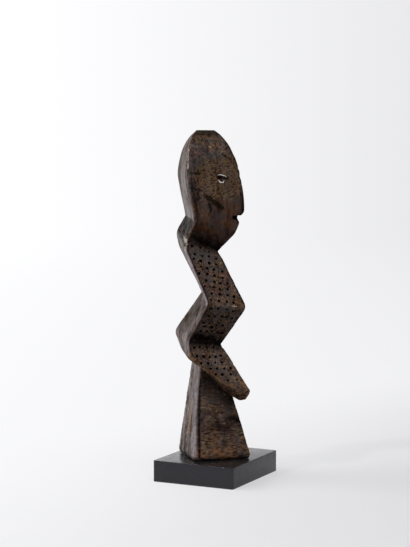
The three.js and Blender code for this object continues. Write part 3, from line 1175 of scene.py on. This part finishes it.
# %% Finish helpers
class Finish:
    """The node graph of one material, with the colour painted on so far."""

    def __init__(self, tree):
        self.tree = tree
        self.where = put(tree, "TexCoord").outputs["Object"]
        self.colour = None

    def noise(self, size, detail=3, rough=0.55, stretch=(1, 1, 1)):
        """Soft noise from 0 to 1 with blotches about `size` millimetres long."""
        scale = tuple(1 / (size * MM * s) for s in stretch)
        scaled = put(self.tree, "VectorMath", {0: self.where, 1: scale}, operation="MULTIPLY")
        sockets = {"Vector": scaled.outputs[0], "Scale": 1, "Detail": detail, "Roughness": rough}
        return put(self.tree, "TexNoise", sockets).outputs["Fac"]

    def ramp(self, source, start, end, low=0, high=1):
        """Cuts patches out of noise: `low` up to `start`, `high` from `end` on."""
        made = put(self.tree, "ValToRGB", {0: source})
        for stop, position, value in zip(made.color_ramp.elements, (start, end), (low, high)):
            stop.position = position
            stop.color = (value, value, value, 1)
        return made.outputs["Color"]

    def mask(self, name):
        return put(self.tree, "Attribute", attribute_name=name).outputs["Fac"]

    def by_height(self, start, end, low, high):
        """A value that changes between two heights, in millimetres above the shelf."""
        height = put(self.tree, "SeparateXYZ", {0: self.where}).outputs["Z"]
        return rise(self.tree, height, start * MM, end * MM, low, high)

    def times(self, first, *others):
        for other in others:
            first = reckon(self.tree, "MULTIPLY", first, other)
        return first

    def plus(self, first, second):
        return reckon(self.tree, "ADD", first, second)

    def most(self, first, second):
        return reckon(self.tree, "MAXIMUM", first, second)

    def blend(self, share, first, second):
        return put(self.tree, "Mix", {0: share, 2: first, 3: second}).outputs[0]

    def tone(self, first, second, amount):
        """One colour that turns into another by an amount."""
        return put(self.tree, "Mix", {0: amount, 6: first, 7: second}, data_type="RGBA").outputs[2]

    def paint(self, colour, amount):
        self.colour = self.tone(self.colour, colour, amount)
        print("painted a layer, nodes so far:", len(self.tree.nodes))

    def shade(self, dents, strength, depth, sockets):
        """Ends the graph with a shader. The dents' depth is in millimetres."""
        bump = put(self.tree, "Bump", {"Strength": strength, "Distance": depth * MM, "Height": dents})
        shader = put(self.tree, "BsdfPrincipled", {
            "Base Color": self.colour, "Normal": bump.outputs[0], **sockets,
        })
        put(self.tree, "OutputMaterial", {"Surface": shader.outputs[0]})
        print("nodes of the finish:", len(self.tree.nodes))


# %% [markdown]
# ## The wood's finish
#
# Long handling, smoke and oil leave a dark brown skin on the wood, glossy on the ridges and
# dull in the hollows. Layers of noise build it: broad clouds of darker and greyer skin, short
# grain along the block, fine specks, and then the masks above.

# %% Skin of the wood
DEEP_BROWN = (0.009, 0.0055, 0.0045, 1)
VIOLET_BROWN = (0.078, 0.042, 0.037, 1)
GOLDEN_BROWN = (0.088, 0.05, 0.026, 1)
TAN_FLECK = (0.22, 0.13, 0.08, 1)
GREY_BLOOM = (0.042, 0.042, 0.041, 1)

coat = Finish(wood_nodes)
low_down = coat.by_height(FIGURE_LIFT + 54, FIGURE_LIFT + 84, 1, 0)
clouds = coat.noise(11)
patches = coat.noise(4.2, detail=2, stretch=(1, 1, 0.8))
upright = coat.noise(1.7, detail=1, stretch=(1, 1, 1.5))
level_marks = coat.noise(1.5, detail=2, stretch=(3, 3, 0.8))
streaks = coat.noise(6, detail=4, rough=0.65, stretch=(1, 1, 5))
specks = coat.noise(1.45, detail=1)
bloom = coat.noise(9, stretch=(1.4, 1.4, 0.7))
stipple = coat.noise(1.7, detail=2, rough=0.6, stretch=(1.3, 1.3, 0.8))
grain = coat.blend(low_down, upright, level_marks)
dots = coat.blend(low_down, specks, level_marks)

blotches = coat.blend(rise(coat.tree, low_down, 0, 1, 0.3, 0.45), grain, patches)
brown = coat.tone(VIOLET_BROWN, GOLDEN_BROWN, coat.ramp(clouds, 0.42, 0.58))
coat.colour = coat.tone(DEEP_BROWN, brown, coat.ramp(blotches, 0.4, 0.55))
coat.paint(DEEP_BROWN, coat.times(low_down, coat.ramp(bloom, 0.4, 0.5, 0.5, 0)))
flecks = coat.times(coat.ramp(dots, 0.55, 0.69), coat.ramp(bloom, 0.4, 0.6, 0.9, 0.2))
coat.paint(TAN_FLECK, coat.times(flecks, coat.by_height(225, 250, 1, 0.4)))
greys = coat.most(coat.mask("greyed"), coat.ramp(bloom, 0.5, 0.62, 0, 0.6))
coat.paint(GREY_BLOOM, coat.times(greys, coat.ramp(grain, 0.35, 0.6, 0.5, 1)))

# %% Smooth face and scraped ovals
SMOOTH_RED = (0.06, 0.021, 0.0065, 1)
SMOOTH_DARK = (0.021, 0.0095, 0.0075, 1)
SCRAPED_GOLD = (0.125, 0.073, 0.034, 1)
SCRAPED_DULL = (0.085, 0.047, 0.035, 1)
SCRAPED_GAPS = (0.012, 0.0065, 0.0035, 1)

smooth = coat.mask("smooth")
skin_patches = coat.ramp(coat.blend(0.6, patches, clouds), 0.38, 0.6)
coat.paint(coat.tone(SMOOTH_DARK, SMOOTH_RED, skin_patches), coat.times(smooth, 0.85))
scraped = coat.mask("scraped")
scraped_tone = coat.tone(SCRAPED_DULL, SCRAPED_GOLD, coat.ramp(patches, 0.38, 0.58))
scraped_tone = coat.tone(SCRAPED_GAPS, scraped_tone, coat.ramp(stipple, 0.38, 0.56))
coat.paint(scraped_tone, coat.ramp(scraped, 0.1, 0.9, 0, 0.85))

# %% Rubbing, dust with painted sheen, soot with painted shade, painted highlights, crust, chips and painted glints
RUBBED_RED = (0.18, 0.082, 0.036, 1)
RUBBED_DULL = (0.155, 0.095, 0.052, 1)
DUST_AND_SHEEN = (0.105, 0.077, 0.077, 1)
PAINTED_FLAT_HIGHLIGHT = (0.3, 0.255, 0.27, 1)
SOOT_AND_SHADE = (0.0025, 0.0016, 0.0012, 1)
CRUST_COLOUR = (0.005, 0.0042, 0.0025, 1)
CHIP_AND_GLINT_COLOUR = (0.42, 0.38, 0.35, 1)
HOLLOW_SHADE = dict(reach=9, samples=8)

rub_patches = coat.blend(low_down, patches, coat.blend(0.5, patches, clouds))
rub = coat.times(coat.mask("rubbed"), coat.ramp(rub_patches, 0.38, 0.54, 0, 1.15),
                 coat.ramp(grain, 0.41, 0.56, 0.15, 1.1))
coat.paint(coat.tone(RUBBED_DULL, RUBBED_RED, coat.ramp(clouds, 0.42, 0.56)), rub)
# Dust on the facets that face back, made paler as a painted sheen for the backdrop's reflection.
dust_sheen = coat.times(coat.mask("dust_and_sheen"), coat.ramp(streaks, 0.4, 0.56, 0, 1.1),
                  coat.ramp(patches, 0.38, 0.54, 0.2, 1.1))
coat.paint(DUST_AND_SHEEN, dust_sheen)
# Painted highlight: pale colour on the planed flats where the small lamp glints.
coat.paint(PAINTED_FLAT_HIGHLIGHT, coat.times(coat.mask("flat_highlight"), coat.ramp(patches, 0.3, 0.55, 0.45, 1)))
# Painted shade: ambient occlusion paints hollows dark, on top of the mask of stains and painted shade, all in
# the darkest tone.
hollow_shade = put(coat.tree, "AmbientOcclusion", {"Distance": HOLLOW_SHADE["reach"] * MM},
             samples=HOLLOW_SHADE["samples"], only_local=True).outputs["AO"]
soot_and_shade = coat.times(coat.mask("soot_and_painted_shade"), coat.ramp(patches, 0.3, 0.6, 0.75, 1.1))
soot_and_shade = coat.most(soot_and_shade, coat.ramp(hollow_shade, 0.3, 0.62, 0.85, 0))
coat.paint(SOOT_AND_SHADE, soot_and_shade)


def broken(name, threshold):
    """A mask that noise eats into from its border."""
    here = coat.mask(name)
    eaten = coat.times(coat.plus(here, coat.plus(specks, patches)), 0.5)
    eaten = coat.ramp(eaten, threshold, threshold + 0.16, 0, 0.9)
    return coat.times(eaten, coat.ramp(here, 0.02, 0.2))


crust = broken("crusted", 0.69)
coat.paint(CRUST_COLOUR, crust)
# Chips, and glints painted pale where the small lamp catches the worn ridges.
coat.paint(CHIP_AND_GLINT_COLOUR, broken("chips_and_glints", 0.8))

# %% Gloss and dents of the wood
gloss = coat.plus(coat.ramp(clouds, 0.35, 0.65, 0.38, 0.52), coat.times(scraped, 0.15))
shine = coat.times(coat.ramp(coat.most(soot_and_shade, crust), 0, 1, 0.3, 0.03),
                   coat.ramp(streaks, 0.43, 0.56, 0.05, 1.1))
fine = coat.times(coat.plus(specks, coat.times(grain, 1.5)), coat.ramp(smooth, 0, 1, 1, 0.25))
coat.shade(fine, 0.9, 0.22, {"Roughness": gloss, "Specular IOR Level": shine})

# %% Burnt wood and pale remains
char = Finish(burnt_nodes)
cracks = char.noise(0.8, detail=2)
char.colour = char.tone((0.0022, 0.0014, 0.001, 1), (0.009, 0.005, 0.003, 1),
                        char.ramp(cracks, 0.45, 0.65))
char.shade(cracks, 0.8, 0.15, {"Roughness": 0.75, "Specular IOR Level": 0.06})

chalk = Finish(pale_nodes)
grime = chalk.noise(0.9)
chalk.colour = chalk.tone((0.3, 0.24, 0.18, 1), (0.78, 0.75, 0.7, 1),
                          chalk.ramp(grime, 0.36, 0.48))
chalk.shade(grime, 0.6, 0.12, {"Roughness": 0.5})

# %% Hand the figure to the frame
SHARP_FROM = radians(38)


def softened(made):
    """Shades an object smooth, apart from its sharp edges."""
    made.data.shade_smooth()
    made.data.set_sharp_from_angle(angle=SHARP_FROM)


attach(figure, "root")
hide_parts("figure")
softened(figure)
print("materials on the figure:", [material.name for material in figure.data.materials])

# %% [markdown]
# ## The plinth
#
# The plinth is a sawn block of hardwood with its corners sanded a little round, sprayed
# satin black. Its top is smooth enough to mirror the backdrop and the foot of the figure.

# %% Plinth
ARRIS = 0.4
CORNER = 2.0
SHARP_CORNER = radians(50)

low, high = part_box("plinth")
bpy.ops.mesh.primitive_cube_add(size=1, location=(low + high) / 2)
plinth = bpy.context.object
plinth.name = "plinth_block"
plinth.scale = high - low
bpy.ops.object.transform_apply(location=True, rotation=False, scale=True)
heights = [vertex.co.z for vertex in plinth.data.vertices]
uprights = [
    edge.index for edge in plinth.data.edges
    if abs(heights[edge.vertices[0]] - heights[edge.vertices[1]]) > MM
]


def rounded(target, width, segments, edges=None):
    """Rounds the edges named by number, or every sharp edge."""
    step = target.modifiers.new("round", "BEVEL")
    step.width = width * MM
    step.segments = segments
    if edges is None:
        step.limit_method = "ANGLE"
        step.angle_limit = SHARP_CORNER
    else:
        step.limit_method = "WEIGHT"
        weights = target.data.attributes.new("bevel_weight_edge", "FLOAT", "EDGE")
        for index in edges:
            weights.data[index].value = 1
    bake(target)


rounded(plinth, CORNER, 6, uprights)
rounded(plinth, ARRIS, 4)
softened(plinth)
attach(plinth, "root")
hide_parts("plinth")
print("plinth faces:", len(plinth.data.polygons))

# %% Black paint
black, black_nodes = new_material("satin_black_paint")
lacquer = Finish(black_nodes)
smears = lacquer.noise(9, detail=5, rough=0.6)
orange_peel = lacquer.noise(1.4, detail=2)
lacquer.colour = lacquer.tone((0.0075, 0.0075, 0.008, 1), (0.014, 0.014, 0.0145, 1), smears)
lacquer.shade(orange_peel, 0.25, 0.05, {
    "Roughness": lacquer.ramp(smears, 0.3, 0.7, 0.2, 0.3),
    "Specular IOR Level": 0.56, "Specular Tint": (0.98, 0.95, 1.08, 1),
})
plinth.data.materials.clear()
plinth.data.materials.append(black)

# %% Sizes
visual_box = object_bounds()
[[list(corner) for corner in box] for box in (cad_box, visual_box)]
print("visual box in millimetres", [[round(v * 1000, 1) for v in corner] for corner in visual_box])
